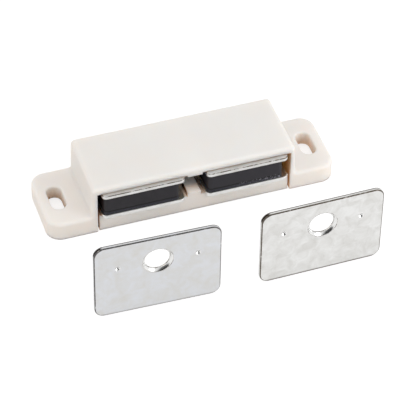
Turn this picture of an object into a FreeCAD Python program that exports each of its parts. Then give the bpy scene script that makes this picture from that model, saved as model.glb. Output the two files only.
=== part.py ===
import FreeCAD, Part
import math
import os
import Sketcher
from FreeCAD import Vector

# Double magnetic catch for a cupboard door, with its two strike plates.
# The housing's mounting face is z = 0 and the origin is the middle of that face.
# X runs along the housing, from ear to ear, the open front looks along -Y and +Z is up.
# Lengths are millimetres and angles are degrees.

DIMENSIONS = [
    ("magnet_length", 23.4, "ferrite block, along the housing"),
    ("magnet_depth", 15.5, "ferrite block, front to back"),
    ("magnet_height", 6.5, "ferrite block"),
    ("magnet_corner", 1.3, "plan radius of the block"),
    ("magnet_edge", 0.25, "bevel along the block's edges"),
    ("magnet_shift", 0.6, "how far each block lies left of its plates' middle"),
    ("plate_thickness", 1.25, "pole plate"),
    ("plate_side", 1.125, "plate past a centred magnet, at each end"),
    ("plate_front", 0.25, "plate past its magnet at the front"),
    ("plate_rear", 1.75, "plate past its magnet at the rear"),
    ("plate_corner", 1.5, "plan radius of a pole plate"),
    ("plate_edge", 0.2, "stamped bevel along a plate's edges"),
    ("left_proud", 1.3, "left plates' front ahead of the housing's front"),
    ("right_proud", 1.5, "right plates' front ahead of the housing's front"),
    ("seat_height", 5.7, "where the lower plates lie, above the mounting face"),
    ("tray_lip", 0.2, "height of the lips round that seat"),
    ("tray_lip_width", 0.525, "thickness of the lip at each end of the tray"),
    ("tray_pad", 4.2, "width of the pad between the lower plates"),
    ("pad_rise", 1.25, "height of that pad above the lips"),
    ("plate_pad_gap", 1.175, "between a lower plate and the pad"),
    ("plate_lip_gap", 0.1, "between a lower plate and the lips at its end and rear"),
    ("tray_fit", 0.6, "gap between the tray and each end wall"),
    ("tray_recess", 0.5, "tray's front behind the housing's front"),
    ("tray_rear_gap", 0.3, "between the tray and the rear wall"),
    ("tray_skirt", 1.5, "thickness of the tray's sides"),
    ("tray_floor", 1.6, "thickness of the tray under the plates"),
    ("tray_rib", 1.2, "thickness of the ribs under the tray"),
    ("tray_cells", 4, "hollows under the tray"),
    ("tray_edge", 0.15, "rounding of the tray's front edges"),
    ("pad_edge", 0.4, "rounding along the pad's top"),
    ("snap_level", 2.5, "height of the tray's catches above the mounting face"),
    ("snap_width", 1.4, "width of a catch where it leaves the tray"),
    ("snap_length", 8.0, "length of a catch, front to back"),
    ("snap_bite", 0.5, "how far a catch reaches into the end wall"),
    ("snap_gap", 0.12, "room round a catch in its groove"),
    ("end_wall", 1.65, "thickness of the end walls, at the ears' top"),
    ("rear_wall", 1.8, "thickness of the rear wall"),
    ("roof", 1.98, "thickness of the roof"),
    ("roof_gap", 0.12, "between the upper plates and the ceiling"),
    ("roof_rib_gap", 0.975, "between the rib under the roof and each upper plate"),
    ("roof_rib_drop", 0.7, "how far that rib hangs below the ceiling"),
    ("box_draft", 1.5, "lean of the box's end walls"),
    ("shell_edge", 1.0, "rounding along the housing's outer edges"),
    ("roof_corner_extra", 0.3, "what the roof's corner radius has more than that"),
    ("foot_fillet", 0.9, "where the end walls meet the ears"),
    ("ear_reach", 13.2, "each ear past the box"),
    ("ear_height", 6.0, "thickness of the two ears"),
    ("ear_corner", 4.5, "plan radius of the ears"),
    ("slot_inset", 5.5, "slot's middle inside the ear's end"),
    ("slot_width", 4.6, "across each slot, along the housing"),
    ("slot_length", 9.8, "over each slot, front to back"),
    ("slot_edge", 0.5, "rounding round each slot's upper rim"),
    ("relief_depth", 1.3, "shallow relief round each slot, under the ear"),
    ("relief_margin", 1.6, "relief past the slot, all round"),
    ("stop_rib", 1.4, "thickness of the ribs behind the magnets"),
    ("stop_pitch", 14.0, "between the two ribs behind one magnet"),
    ("stop_gap", 0.4, "between those ribs and the plates"),
    ("stop_depth", 5.4, "those ribs, out from the rear wall"),
    ("hold_gap", 0.15, "between the tray's top and the ribs above it"),
    ("strike_length", 37.5, "strike plate, along the door"),
    ("strike_height", 26.8, "strike plate, other way"),
    ("strike_thickness", 1.25, "sheet of the strike plate"),
    ("strike_corner", 3.0, "corner radius of the strike plate"),
    ("strike_edge", 0.3, "rolled bevel round the strike plate's face"),
    ("strike_bore", 7.4, "screw hole"),
    ("sink_rim", 0.8, "countersink past the screw hole at the face, all round"),
    ("sink_angle", 90.0, "included angle of the countersink"),
    ("hole_drop", 8.8, "hole's middle below the upper edge"),
    ("pip_spacing", 23.7, "between the two punched pips"),
    ("pip_width", 1.3, "punched pip"),
    ("pip_tip", 0.13, "the punch's blunt tip"),
    ("pip_depth", 0.7, "pit in the face"),
    ("pip_reach", 0.8, "point behind the sheet"),
    ("left_strike_start", 3.65, "left strike's near end, left of the middle"),
    ("left_strike_gap", 33.9, "left strike's face ahead of the housing's front"),
    ("left_strike_turn", -1.7, "turn of the left strike about Z"),
    ("right_strike_start", 8.25, "right strike's near end, right of the middle"),
    ("right_strike_gap", 34.5, "right strike's face ahead of the housing's front"),
    ("right_strike_turn", 0.7, "turn of the right strike about Z"),
]

# Sizes and places that follow from those above: the magnets lead to their plates, the plates to
# the tray's seats and the tray to the housing round it.
DERIVED = [
    ("plate_length", "magnet_length + 2 * plate_side", "pole plate, along the housing"),
    ("plate_depth", "magnet_depth + plate_front + plate_rear", "pole plate, front to back"),
    ("least_proud", "min(left_proud; right_proud)", "the pack that stands out less"),
    ("pack_middle", "tray_pad / 2 + plate_pad_gap + plate_length / 2", "plates' middle from the centre"),
    ("seat_end", "pack_middle + plate_length / 2 + plate_lip_gap", "inside of the lip at the tray's end"),
    ("tray_end", "seat_end + tray_lip_width", "tray's end from the centre"),
    ("end_inside", "tray_end + tray_fit", "inside of an end wall from the centre"),
    ("box_end", "end_inside + end_wall", "outside of an end wall, at the ears' top"),
    ("ear_end", "box_end + ear_reach", "end of an ear from the centre"),
    ("slot_place", "ear_end - slot_inset", "slot's middle from the centre"),
    ("housing_depth", "plate_depth - least_proud + stop_gap + stop_depth + rear_wall", "front to back"),
    ("ceiling", "seat_height + 2 * plate_thickness + magnet_height + roof_gap", "underside of the roof"),
    ("housing_height", "ceiling + roof", "mounting face to roof"),
    ("roof_corner", "shell_edge + roof_corner_extra", "between the roof and the end walls"),
    ("roof_rib_half", "tray_pad / 2 + plate_pad_gap - roof_rib_gap", "half the rib under the roof"),
    ("front", "-housing_depth / 2", "the housing's front"),
    ("rear_inside", "housing_depth / 2 - rear_wall", "inside of the rear wall"),
    ("pack_rear", "front - least_proud + plate_depth", "rear edge of the pack that is further back"),
    ("stop_front", "pack_rear + stop_gap", "front of the ribs behind the magnets"),
    ("tray_front", "front + tray_recess", "the tray's front"),
    ("tray_rear", "rear_inside - tray_rear_gap", "the tray's rear"),
    ("tray_top", "seat_height + tray_lip", "top of the tray's lips"),
    ("pad_top", "tray_top + pad_rise", "top of the pad between the lower plates"),
    ("hole_level", "strike_height - hole_drop", "strike's hole and pips above its lower edge"),
    ("left_strike_place", "-left_strike_start - strike_length / 2", "middle of the left strike"),
    ("right_strike_place", "right_strike_start + strike_length / 2", "middle of the right strike"),
]

# Two places in the model that lie closer than this are one place.
SAME = 1e-4

doc = FreeCAD.newDocument("magnetic_catch")


def make_sheet():
    """Every size in one sheet: its name, its value or formula, and what it measures."""
    sheet = doc.addObject("Spreadsheet::Sheet", "Dims")
    formulas = [(name, "=" + formula, note) for name, formula, note in DERIVED]
    for row, (name, content, note) in enumerate(DIMENSIONS + formulas, start=1):
        sheet.set("A%d" % row, name)
        sheet.set("B%d" % row, str(content))
        sheet.set("C%d" % row, note)
        sheet.setAlias("B%d" % row, name)
    doc.recompute()
    return sheet


dims = make_sheet()


def value(formula):
    """A formula of the sheet's names as a plain number."""
    result = dims.evalExpression(formula)
    return float(getattr(result, "Value", result))


def bind(item, field, formula):
    item.setExpression(field, formula)


def new_body(name):
    body = doc.addObject("PartDesign::Body", name)
    body.Label = name
    return body


def origin_plane(body, role):
    return next(feature for feature in body.Origin.OriginFeatures if feature.Role == role)


def new_sketch(body, name, role, offset=None):
    """A sketch on one of the body's own planes, moved along its normal by a formula."""
    sketch = body.newObject("Sketcher::SketchObject", name)
    sketch.AttachmentSupport = (origin_plane(body, role), [""])
    sketch.MapMode = "FlatFace"
    if offset is not None:
        bind(sketch, "AttachmentOffset.Base.z", offset)
    return sketch


def hold_point(sketch, element, end, x_formula, y_formula):
    """Ties one point of a sketch to its distances from the sketch's origin."""
    for kind, formula, axis in (("DistanceX", x_formula, -2), ("DistanceY", y_formula, -1)):
        if formula == "0":
            sketch.addConstraint(Sketcher.Constraint("PointOnObject", element, end, axis))
            continue
        tie = Sketcher.Constraint(kind, -1, 1, element, end, value(formula))
        index = sketch.addConstraint(tie)
        bind(sketch, "Constraints[%d]" % index, formula)


def add_polygon(sketch, corners):
    """A closed outline whose corners are pairs of formulas."""
    first = sketch.GeometryCount
    count = len(corners)
    points = [Vector(value(x), value(y), 0) for x, y in corners]
    for i in range(count):
        sketch.addGeometry(Part.LineSegment(points[i], points[(i + 1) % count]))
    for i in range(count):
        following = first + (i + 1) % count
        sketch.addConstraint(Sketcher.Constraint("Coincident", first + i, 2, following, 1))
        hold_point(sketch, first + i, 1, *corners[i])


def add_rectangle(sketch, left, right, low, high):
    add_polygon(sketch, [(left, low), (right, low), (right, high), (left, high)])


def add_obround(sketch, middle_x, width, length):
    """A slot with round ends, centred on the sketch's X axis and long along its Y axis."""
    x = value(middle_x)
    radius = value(width) / 2
    reach = value(length) / 2 - radius
    up = Vector(0, 0, 1)
    upper_end = Part.Circle(Vector(x, reach, 0), up, radius)
    lower_end = Part.Circle(Vector(x, -reach, 0), up, radius)
    right = sketch.addGeometry(Part.LineSegment(Vector(x + radius, -reach, 0), Vector(x + radius, reach, 0)))
    top = sketch.addGeometry(Part.ArcOfCircle(upper_end, 0, math.pi))
    left = sketch.addGeometry(Part.LineSegment(Vector(x - radius, reach, 0), Vector(x - radius, -reach, 0)))
    foot = sketch.addGeometry(Part.ArcOfCircle(lower_end, math.pi, 2 * math.pi))
    ring = [right, top, left, foot]
    for i in range(4):
        sketch.addConstraint(Sketcher.Constraint("Tangent", ring[i], 2, ring[(i + 1) % 4], 1))
    sketch.addConstraint(Sketcher.Constraint("Vertical", right))
    sketch.addConstraint(Sketcher.Constraint("Equal", top, foot))
    size = sketch.addConstraint(Sketcher.Constraint("Radius", top, radius))
    bind(sketch, "Constraints[%d]" % size, "(" + width + ") / 2")
    half_run = "((" + length + ") - (" + width + ")) / 2"
    hold_point(sketch, top, 3, middle_x, half_run)
    below = sketch.addConstraint(Sketcher.Constraint("DistanceY", -1, 1, foot, 3, -reach))
    bind(sketch, "Constraints[%d]" % below, "-" + half_run)


def extrude(body, kind, name, sketch, length, symmetric=False, reverse=False):
    """A pad or a pocket of the sketch, checked by the volume that it adds or takes."""
    before = body.Shape.Volume if body.Shape.Solids else 0.0
    feature = body.newObject("PartDesign::" + kind, name)
    feature.Profile = sketch
    bind(feature, "Length", length)
    if symmetric:
        feature.SideType = "Symmetric"
    feature.Reversed = reverse
    sketch.Visibility = False
    doc.recompute()
    change = feature.Shape.Volume - before
    if (change <= 0) if kind == "Pad" else (change >= 0):
        raise RuntimeError(name + " changes nothing")
    return feature


def edges_where(shape, test):
    """Names of the edges whose bounding box and shape pass the test."""
    return ["Edge%d" % (i + 1) for i, edge in enumerate(shape.Edges) if test(edge)]


def near(a, b):
    return abs(a - b) < SAME


def at_level(edge, level):
    box = edge.BoundBox
    return near(box.ZMin, level) and near(box.ZMax, level)


def upright(edge):
    box = edge.BoundBox
    return box.ZLength > SAME and box.XLength < SAME and box.YLength < SAME


def dress(body, kind, name, base, edges, field, formula):
    """A rounding or a bevel along named edges of the base feature."""
    if not edges:
        raise RuntimeError(name + " finds no edge")
    feature = body.newObject("PartDesign::" + kind, name)
    feature.Base = (base, edges)
    bind(feature, field, formula)
    doc.recompute()
    if "Invalid" in feature.State:
        raise RuntimeError(name + " can't be made")
    return feature


def mirror(body, name, original):
    """The same feature again on the other side of the body's YZ plane, and as large."""
    before = original.BaseFeature.Shape.Volume
    feature = body.newObject("PartDesign::Mirrored", name)
    feature.Originals = [original]
    feature.MirrorPlane = (origin_plane(body, "YZ_Plane"), [""])
    body.Tip = feature
    doc.recompute()
    single = original.Shape.Volume - before
    pair = feature.Shape.Volume - before
    if abs(pair - 2 * single) > 0.001 * abs(single):
        raise RuntimeError(name + " doesn't repeat its original")
    return feature


# Housing

def make_housing():
    """One moulding: a flanged foot, a drafted box on it, a cavity open at the front and foot."""
    body = new_body("housing")
    housing_shell(body)
    housing_cavity(body)
    housing_stops(body)
    housing_grooves(body)
    housing_slots(body)
    return body


def housing_shell(body):
    """Ears and box from one front profile, softened along every outer edge."""
    profile = new_sketch(body, "front_profile", "XZ_Plane")
    end = "Dims.ear_end"
    foot = "Dims.box_end"
    top = "(Dims.box_end - (Dims.housing_height - Dims.ear_height) * tan(Dims.box_draft * 1 deg))"
    add_polygon(profile, [
        ("-" + end, "0"), (end, "0"), (end, "Dims.ear_height"), (foot, "Dims.ear_height"),
        (top, "Dims.housing_height"), ("-" + top, "Dims.housing_height"),
        ("-" + foot, "Dims.ear_height"), ("-" + end, "Dims.ear_height")])
    block = extrude(body, "Pad", "block", profile, "Dims.housing_depth", symmetric=True)
    ear_top = value("Dims.ear_height")
    creases = edges_where(block.Shape, lambda edge: at_place(edge, value(foot), ear_top))
    creased = dress(body, "Fillet", "foot_fillets", block, creases, "Radius", "Dims.foot_fillet")
    roof_top = value("Dims.housing_height")
    ridges = edges_where(creased.Shape, lambda edge: at_place(edge, value(top), roof_top))
    ridged = dress(body, "Fillet", "roof_corners", creased, ridges, "Radius", "Dims.roof_corner")
    corners = edges_where(ridged.Shape, lambda edge: upright(edge)
                          and near(abs(edge.BoundBox.XMin), value(end)))
    rounded = dress(body, "Fillet", "ear_corners", ridged, corners, "Radius", "Dims.ear_corner")
    outline = edges_where(rounded.Shape, lambda edge: edge.BoundBox.ZMin > ear_top - SAME
                          and not along_housing_depth(edge))
    return dress(body, "Fillet", "outer_edges", rounded, outline, "Radius", "Dims.shell_edge")


def at_place(edge, distance, level):
    """True for an edge that runs front to back at this distance from the middle and this height."""
    box = edge.BoundBox
    return along_housing_depth(edge) and near(abs(box.XMin), distance) and near(box.ZMin, level)


def along_housing_depth(edge):
    box = edge.BoundBox
    return box.XLength < SAME and box.ZLength < SAME and near(abs(box.XMin), abs(box.XMax))


def housing_cavity(body):
    """The space for the tray and magnets, cut from the front and open at the foot too."""
    section = new_sketch(body, "cavity_section", "XZ_Plane", "-Dims.front")
    end = "Dims.end_inside"
    rib = "Dims.roof_rib_half"
    rib_foot = "Dims.ceiling - Dims.roof_rib_drop"
    add_polygon(section, [
        ("-" + end, "0"), (end, "0"), (end, "Dims.ceiling"), (rib, "Dims.ceiling"), (rib, rib_foot),
        ("-" + rib, rib_foot), ("-" + rib, "Dims.ceiling"), ("-" + end, "Dims.ceiling")])
    return extrude(body, "Pocket", "cavity", section, "Dims.housing_depth - Dims.rear_wall")


def housing_stops(body):
    """Ribs on the rear wall that the magnets back against and that keep the tray down."""
    section = new_sketch(body, "stop_section", "XZ_Plane", "-Dims.stop_front")
    for side in ("", "-"):
        for offset in ("-", "+"):
            middle = "%s(Dims.pack_middle %s Dims.stop_pitch / 2)" % (side, offset)
            add_rectangle(section, middle + " - Dims.stop_rib / 2", middle + " + Dims.stop_rib / 2",
                          "Dims.tray_top + Dims.hold_gap", "Dims.ceiling")
    return extrude(body, "Pad", "stops", section, "Dims.stop_depth", reverse=True)


def housing_grooves(body):
    """A groove in each end wall for the tray's catches."""
    section = new_sketch(body, "groove_section", "XZ_Plane")
    half = "(Dims.snap_width / 2 + Dims.snap_gap)"
    add_rectangle(section, "Dims.end_inside - Dims.tray_fit / 2",
                  "Dims.end_inside + Dims.snap_bite + Dims.snap_gap",
                  "Dims.snap_level - " + half, "Dims.snap_level + " + half)
    groove = extrude(body, "Pocket", "groove", section, "Dims.snap_length + 2 * Dims.snap_gap",
                     symmetric=True)
    return mirror(body, "groove_pair", groove)


def housing_slots(body):
    """One slot through each ear for a screw, with a soft upper rim and a relief underneath."""
    outline = new_sketch(body, "slot_outline", "XY_Plane")
    add_obround(outline, "Dims.slot_place", "Dims.slot_width", "Dims.slot_length")
    slot = extrude(body, "Pocket", "slot", outline, "Dims.ear_height", reverse=True)
    mirror(body, "slot_pair", slot)
    wider = new_sketch(body, "relief_outline", "XY_Plane")
    add_obround(wider, "Dims.slot_place", "Dims.slot_width + 2 * Dims.relief_margin",
                "Dims.slot_length + 2 * Dims.relief_margin")
    relief = extrude(body, "Pocket", "relief", wider, "Dims.relief_depth", reverse=True)
    pair = mirror(body, "relief_pair", relief)
    top = value("Dims.ear_height")
    inner = value("Dims.slot_place - Dims.slot_width / 2")
    outer = value("Dims.slot_place + Dims.slot_width / 2")
    reach = value("Dims.slot_length / 2")
    rim = edges_where(pair.Shape, lambda edge: at_level(edge, top)
                      and slot_edge(edge, inner, outer, reach))
    return dress(body, "Fillet", "slot_rims", pair, rim, "Radius", "Dims.slot_edge")


def slot_edge(edge, inner, outer, reach):
    """True for an edge that lies on a slot's outline."""
    box = edge.BoundBox
    low = min(abs(box.XMin), abs(box.XMax))
    high = max(abs(box.XMin), abs(box.XMax))
    return low > inner - SAME and high < outer + SAME and max(-box.YMin, box.YMax) < reach + SAME


# Tray

def make_tray():
    """The moulding that closes the foot: a ribbed tray with seats for the two lower plates."""
    body = new_body("magnet_tray")
    outline = new_sketch(body, "tray_outline", "XY_Plane")
    add_rectangle(outline, "-Dims.tray_end", "Dims.tray_end", "Dims.tray_front", "Dims.tray_rear")
    extrude(body, "Pad", "block", outline, "Dims.tray_top")
    seats = tray_seats(body)
    rim = edges_where(seats.Shape, tray_front_edge)
    dress(body, "Fillet", "front_edges", seats, rim, "Radius", "Dims.tray_edge")
    tray_pad(body)
    tray_hollows(body)
    tray_catches(body)
    return body


def tray_front_edge(edge):
    """True for a level edge at the top of the tray's front."""
    box = edge.BoundBox
    front = value("Dims.tray_front")
    level = near(box.ZMin, box.ZMax) and box.ZMin > SAME
    return level and near(box.YMin, front) and near(box.YMax, front)


def tray_seats(body):
    """Two shallow seats, open at the front, with a lip at each end."""
    outline = new_sketch(body, "seat_outlines", "XY_Plane", "Dims.tray_top")
    inner = "Dims.tray_pad / 2"
    rear = "Dims.pack_rear + Dims.plate_lip_gap"
    add_rectangle(outline, inner, "Dims.seat_end", "Dims.front", rear)
    add_rectangle(outline, "-Dims.seat_end", "-" + inner, "Dims.front", rear)
    return extrude(body, "Pocket", "seats", outline, "Dims.tray_lip")


def tray_pad(body):
    """The pad that keeps the two lower plates apart, its top edges round."""
    outline = new_sketch(body, "pad_outline", "XY_Plane", "Dims.seat_height")
    half = "Dims.tray_pad / 2"
    rear = "Dims.pack_rear + Dims.plate_lip_gap"
    add_rectangle(outline, "-" + half, half, "Dims.tray_front", rear)
    pad = extrude(body, "Pad", "pad", outline, "Dims.pad_top - Dims.seat_height")
    top = value("Dims.pad_top")
    rim = edges_where(pad.Shape, lambda edge: near(edge.BoundBox.ZMin, top))
    return dress(body, "Fillet", "pad_rim", pad, rim, "Radius", "Dims.pad_edge")


def tray_hollows(body):
    """Equal hollows under the tray, with ribs between them."""
    inside = "2 * (Dims.tray_end - Dims.tray_skirt)"
    cell = "((" + inside + " - (Dims.tray_cells - 1) * Dims.tray_rib) / Dims.tray_cells)"
    start = "-(Dims.tray_end - Dims.tray_skirt)"
    outline = new_sketch(body, "hollow_outline", "XY_Plane")
    add_rectangle(outline, start, start + " + " + cell,
                  "Dims.tray_front + Dims.tray_skirt", "Dims.tray_rear - Dims.tray_skirt")
    hollow = extrude(body, "Pocket", "hollow", outline, "Dims.seat_height - Dims.tray_floor", reverse=True)
    row = body.newObject("PartDesign::LinearPattern", "hollows")
    row.Originals = [hollow]
    row.Direction = (outline, ["H_Axis"])
    bind(row, "Occurrences", "Dims.tray_cells")
    bind(row, "Length", "(Dims.tray_cells - 1) * (" + cell + " + Dims.tray_rib)")
    body.Tip = row
    doc.recompute()
    return row


def tray_catches(body):
    """A bevelled catch on each end that clicks into the end wall's groove."""
    section = new_sketch(body, "catch_section", "XZ_Plane")
    root = "Dims.tray_end - Dims.tray_skirt / 2"
    face = "Dims.tray_end"
    tip = "Dims.end_inside + Dims.snap_bite"
    low = "Dims.snap_level - Dims.snap_width / 2"
    high = "Dims.snap_level + Dims.snap_width / 2"
    bevel = "Dims.snap_width / 4"
    add_polygon(section, [(root, low), (face, low), (tip, low + " + " + bevel),
                          (tip, high + " - " + bevel), (face, high), (root, high)])
    catch = extrude(body, "Pad", "catch", section, "Dims.snap_length", symmetric=True)
    return mirror(body, "catch_pair", catch)


# Magnets and their pole plates

def place_in_pack(body, side, level):
    """Puts a piece on its magnet's middle line, at its own height, its front edge forward."""
    sign = {"left": "-", "right": ""}[side]
    bind(body, "Placement.Base.x", sign + "Dims.pack_middle")
    bind(body, "Placement.Base.y", "Dims.front - Dims.%s_proud" % side)
    bind(body, "Placement.Base.z", level)


def make_pole_plate(side, which, level):
    """A stamped steel plate with round corners, its front edge on the piece's own X axis."""
    body = new_body("%s_%s_pole_plate" % (side, which))
    outline = new_sketch(body, "plate_outline", "XY_Plane")
    add_rectangle(outline, "-Dims.plate_length / 2", "Dims.plate_length / 2", "0", "Dims.plate_depth")
    sheet = extrude(body, "Pad", "sheet", outline, "Dims.plate_thickness")
    corners = edges_where(sheet.Shape, upright)
    rounded = dress(body, "Fillet", "corners", sheet, corners, "Radius", "Dims.plate_corner")
    level_edges = edges_where(rounded.Shape, lambda edge: edge.BoundBox.ZLength < SAME)
    dress(body, "Chamfer", "stamped_edges", rounded, level_edges, "Size", "Dims.plate_edge")
    place_in_pack(body, side, level)
    return body


def make_magnet(side, level):
    """A ferrite block, set back a little from the plates that it lies between."""
    body = new_body("%s_magnet" % side)
    outline = new_sketch(body, "block_outline", "XY_Plane")
    add_rectangle(outline, "-Dims.magnet_length / 2 - Dims.magnet_shift",
                  "Dims.magnet_length / 2 - Dims.magnet_shift",
                  "Dims.plate_front", "Dims.plate_front + Dims.magnet_depth")
    block = extrude(body, "Pad", "block", outline, "Dims.magnet_height")
    corners = edges_where(block.Shape, upright)
    rounded = dress(body, "Fillet", "corners", block, corners, "Radius", "Dims.magnet_corner")
    level_edges = edges_where(rounded.Shape, lambda edge: edge.BoundBox.ZLength < SAME)
    dress(body, "Chamfer", "pressed_edges", rounded, level_edges, "Size", "Dims.magnet_edge")
    place_in_pack(body, side, level)
    return body


def make_pack(side):
    """One magnet between two pole plates, lying on the tray."""
    on_seat = "Dims.seat_height"
    on_plate = on_seat + " + Dims.plate_thickness"
    on_magnet = on_plate + " + Dims.magnet_height"
    return [make_pole_plate(side, "lower", on_seat), make_magnet(side, on_plate),
            make_pole_plate(side, "upper", on_magnet)]


# Strike plates

def make_strike(side):
    """A rounded sheet with a countersunk hole and two pips punched towards the door."""
    body = new_body("%s_strike_plate" % side)
    outline = new_sketch(body, "strike_outline", "XZ_Plane")
    half = "Dims.strike_length / 2"
    add_rectangle(outline, "-" + half, half, "0", "Dims.strike_height")
    sheet = extrude(body, "Pad", "sheet", outline, "Dims.strike_thickness", reverse=True)
    thickness = value("Dims.strike_thickness")
    corners = edges_where(sheet.Shape, lambda edge: near(edge.BoundBox.YLength, thickness))
    rounded = dress(body, "Fillet", "corners", sheet, corners, "Radius", "Dims.strike_corner")
    face_edges = edges_where(rounded.Shape, lambda edge: near(edge.BoundBox.YMax, 0))
    dress(body, "Chamfer", "rolled_edge", rounded, face_edges, "Size", "Dims.strike_edge")
    strike_hole(body)
    strike_pips(body)
    bind(body, "Placement.Base.x", "Dims.%s_strike_place" % side)
    bind(body, "Placement.Base.y", "Dims.front - Dims.%s_strike_gap" % side)
    bind(body, "Placement.Rotation.Angle", "Dims.%s_strike_turn" % side)
    return body


def strike_hole(body):
    """The countersunk screw hole, on the plate's upright middle line."""
    place = new_sketch(body, "hole_place", "XZ_Plane")
    middle = Vector(0, value("Dims.hole_level"), 0)
    ring = place.addGeometry(Part.Circle(middle, Vector(0, 0, 1), value("Dims.strike_bore") / 2))
    hold_point(place, ring, 3, "0", "Dims.hole_level")
    size = place.addConstraint(Sketcher.Constraint("Diameter", ring, value("Dims.strike_bore")))
    bind(place, "Constraints[%d]" % size, "Dims.strike_bore")
    doc.recompute()
    before = body.Shape.Volume
    hole = body.newObject("PartDesign::Hole", "screw_hole")
    hole.Profile = place
    doc.recompute()
    hole.DepthType = "ThroughAll"
    hole.HoleCutType = "Countersink"
    hole.HoleCutCustomValues = True
    bind(hole, "Diameter", "Dims.strike_bore")
    bind(hole, "HoleCutDiameter", "Dims.strike_bore + 2 * Dims.sink_rim")
    bind(hole, "HoleCutCountersinkAngle", "Dims.sink_angle")
    doc.recompute()
    if hole.Shape.Volume >= before:
        raise RuntimeError("screw_hole changes nothing")
    return hole


def strike_pips(body):
    """A cone pressed into the face and the point that it raises behind the sheet, twice."""
    pit = pip_cone(body, "Subtractive", "pit", "0", "Dims.pip_depth")
    mirror(body, "pit_pair", pit)
    point = pip_cone(body, "Additive", "point", "Dims.strike_thickness", "Dims.pip_reach")
    return mirror(body, "point_pair", point)


def pip_cone(body, kind, name, start, length):
    """A cone along +Y, wide end first, level with the screw hole."""
    cone = body.newObject("PartDesign::%sCone" % kind, name)
    cone.AttachmentSupport = (origin_plane(body, "XZ_Plane"), [""])
    cone.MapMode = "FlatFace"
    bind(cone, "AttachmentOffset.Base.x", "Dims.pip_spacing / 2")
    bind(cone, "AttachmentOffset.Base.y", "Dims.hole_level")
    bind(cone, "AttachmentOffset.Base.z", "-(" + start + " + " + length + ")")
    bind(cone, "Radius1", "Dims.pip_tip / 2")
    bind(cone, "Radius2", "Dims.pip_width / 2")
    bind(cone, "Height", length)
    doc.recompute()
    return cone


def check(bodies):
    """Stops before anything is written if an object failed or a piece isn't one valid solid."""
    for item in doc.Objects:
        if "Invalid" in item.State or "Error" in item.State:
            raise RuntimeError("%s failed: %s" % (item.Label, item.State))
    for body in bodies:
        shape = body.Shape
        if shape.isNull() or not shape.isValid() or len(shape.Solids) != 1:
            raise RuntimeError("%s is not one valid solid" % body.Label)


def write(bodies):
    os.makedirs("parts", exist_ok=True)
    for body in bodies:
        body.Shape.exportStep("parts/%s.step" % body.Label)


def main():
    bodies = [make_housing(), make_tray()]
    for side in ("left", "right"):
        bodies += make_pack(side)
    for side in ("left", "right"):
        bodies.append(make_strike(side))
    doc.recompute()
    check(bodies)
    write(bodies)
    for body in bodies:
        box = body.Shape.BoundBox
        print("%-24s %9.1f mm3  x %.2f %.2f  y %.2f %.2f  z %.2f %.2f" % (
            body.Label, body.Shape.Volume, box.XMin, box.XMax, box.YMin, box.YMax, box.ZMin, box.ZMax))


main()
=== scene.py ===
import math

import bmesh
import bpy
from bpy.props import FloatProperty, FloatVectorProperty, PointerProperty
from bpy.types import Operator, Panel, PropertyGroup
from mathutils import Matrix, Vector


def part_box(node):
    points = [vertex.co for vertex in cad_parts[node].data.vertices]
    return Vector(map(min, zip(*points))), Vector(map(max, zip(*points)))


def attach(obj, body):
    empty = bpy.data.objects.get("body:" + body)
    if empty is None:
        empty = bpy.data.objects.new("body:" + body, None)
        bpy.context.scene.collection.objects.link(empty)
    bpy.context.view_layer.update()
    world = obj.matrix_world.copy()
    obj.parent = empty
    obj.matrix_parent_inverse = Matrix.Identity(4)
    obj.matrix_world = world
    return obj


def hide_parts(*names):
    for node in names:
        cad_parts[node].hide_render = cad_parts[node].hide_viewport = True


bl_info = {
    "name": "Magnetic Catch Dresser",
    "version": (1, 0, 0),
    "blender": (4, 5, 0),
    "location": "View3D > Sidebar > Catch",
    "description": "Dresses a double magnetic catch and its two strike plates, and sets the stage for them",
    "category": "Object",
}

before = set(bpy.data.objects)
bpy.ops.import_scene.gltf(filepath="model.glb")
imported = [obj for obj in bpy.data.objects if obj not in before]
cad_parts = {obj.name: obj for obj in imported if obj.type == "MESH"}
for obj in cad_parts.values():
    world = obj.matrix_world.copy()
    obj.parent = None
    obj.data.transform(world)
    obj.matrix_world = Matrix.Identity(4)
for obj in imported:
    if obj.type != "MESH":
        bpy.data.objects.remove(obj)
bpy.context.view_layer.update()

MM = 0.001
# Points closer together than this after a cut are one point.
MERGE = 0.002 * MM
MOULDINGS = ("housing", "magnet_tray")
# Where along X the painted glints of chipped grains on each magnet begin and where they are thickest.
MAGNETS = {"left_magnet": (0.04, 0.05), "right_magnet": (0.010, 0.024)}
POLE_PLATES = (
    "left_lower_pole_plate", "left_upper_pole_plate", "right_lower_pole_plate", "right_upper_pole_plate",
)
STRIKE_TURNS = {"left_strike_plate": math.radians(-1.7), "right_strike_plate": math.radians(0.7)}


def linear(hex_text):
    """Turns an sRGB colour written as six hex digits into linear red, green and blue."""
    levels = [int(hex_text[place:place + 2], 16) / 255 for place in (0, 2, 4)]
    return tuple(v / 12.92 if v <= 0.04045 else ((v + 0.055) / 1.055) ** 2.4 for v in levels)


def colour(name, hex_text, description):
    """A colour that a user may change."""
    return FloatVectorProperty(
        name=name, description=description, subtype="COLOR", size=3, min=0, max=1, default=linear(hex_text),
    )


def length(name, millimetres, description):
    """A length that a user may change, written here in millimetres."""
    return FloatProperty(
        name=name, description=description, subtype="DISTANCE", unit="LENGTH", min=0, precision=5,
        default=millimetres * MM,
    )


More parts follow.
